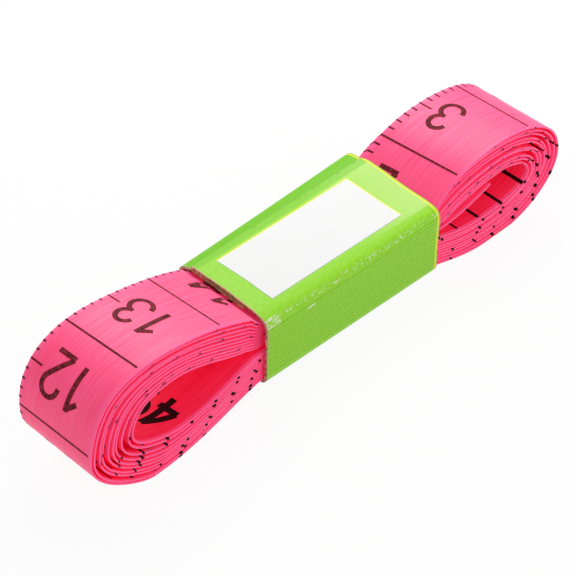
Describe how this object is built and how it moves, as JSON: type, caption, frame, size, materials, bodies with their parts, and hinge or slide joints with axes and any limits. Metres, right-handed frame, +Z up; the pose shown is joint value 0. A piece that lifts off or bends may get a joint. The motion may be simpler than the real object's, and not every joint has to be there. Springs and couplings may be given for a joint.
{
  "type": "cloth tape measure",
  "caption": "Narrow cloth measuring tape wound flat into a hank with a loop at each end, held at its waist by a sliding card band.",
  "frame": {"origin": "centre of the bounding box's base, on the surface the hank lies on", "axes": "+X along the hank from the larger loop to the smaller one, +Y across the tape away from the printed side of the band, +Z up"},
  "size_m": [0.0636, 0.0124, 0.0144],
  "materials": {
    "coated_tape": "satin vinyl-coated woven tape",
    "printed_card": "printed and varnished thin card"
  },
  "bodies": {
    "hank": {"measuring_tape": "coated_tape"},
    "band": {"card_band": "printed_card"}
  },
  "joints": [
    {"name": "band_slide", "type": "slide", "parent": "hank", "child": "band", "axis": [0.9993, 0, -0.0361], "range_m": [-0.0005, 0.001]}
  ]
}
